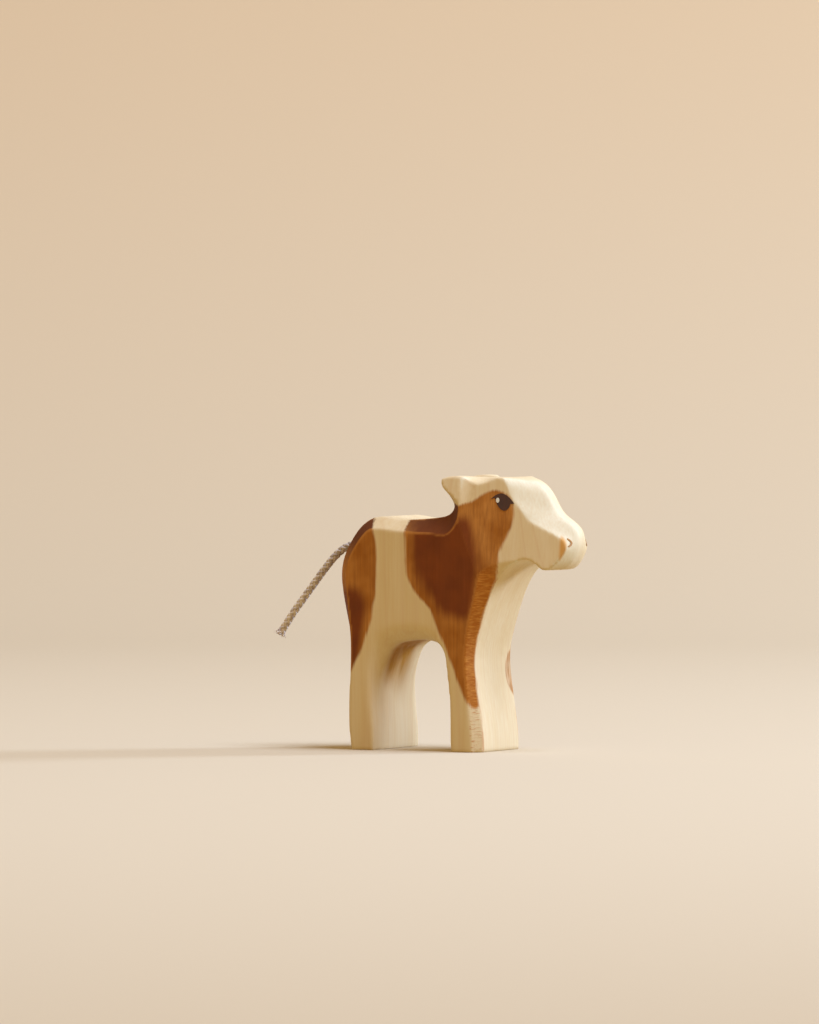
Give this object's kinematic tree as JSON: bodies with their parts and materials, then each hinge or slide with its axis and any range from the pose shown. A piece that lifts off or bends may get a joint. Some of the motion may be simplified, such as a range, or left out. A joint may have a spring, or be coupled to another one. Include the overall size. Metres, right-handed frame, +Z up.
{
  "type": "cow figurine",
  "caption": "Small standing calf figurine carved from a block of pale wood, with brown stained patches, painted eyes and nostrils and a short bendable cord tail glued into its rump.",
  "frame": {"origin": "on the floor, under the middle of the carved block", "axes": "+X ahead, out of the calf's muzzle, +Y to the calf's left, +Z up"},
  "size_m": [0.0902, 0.026, 0.0716],
  "materials": {
    "stained_wood": "bare pale hardwood, knife cut, with brown stain in patches",
    "wood_glue": "set wood glue",
    "tail_cord": "grey-beige knitted cord",
    "eye_paint": "dark brown paint film",
    "glint_paint": "off-white paint film",
    "nostril_paint": "brown paint film"
  },
  "bodies": {
    "figure": {"carved_body": "stained_wood", "tail_glue": "wood_glue", "tail_cord_seat": "tail_cord", "right_eye": "eye_paint", "left_eye": "eye_paint", "right_eye_glint": "glint_paint", "left_eye_glint": "glint_paint", "nostril_marks": "nostril_paint"},
    "tail_root": {"tail_cord_root": "tail_cord"},
    "tail": {"tail_cord": "tail_cord"}
  },
  "joints": [
    {"name": "tail_swing", "type": "hinge", "parent": "figure", "child": "tail_root", "pos_m": [-0.0311, 0, 0.05326], "axis": [0, 0, 1], "range_deg": [-50, 50], "stiffness_Nm_per_rad": 0.001},
    {"name": "tail_lift", "type": "hinge", "parent": "tail_root", "child": "tail", "pos_m": [-0.0334, 0, 0.05313], "axis": [0, 1, 0], "range_deg": [-35, 60], "stiffness_Nm_per_rad": 0.001}
  ]
}
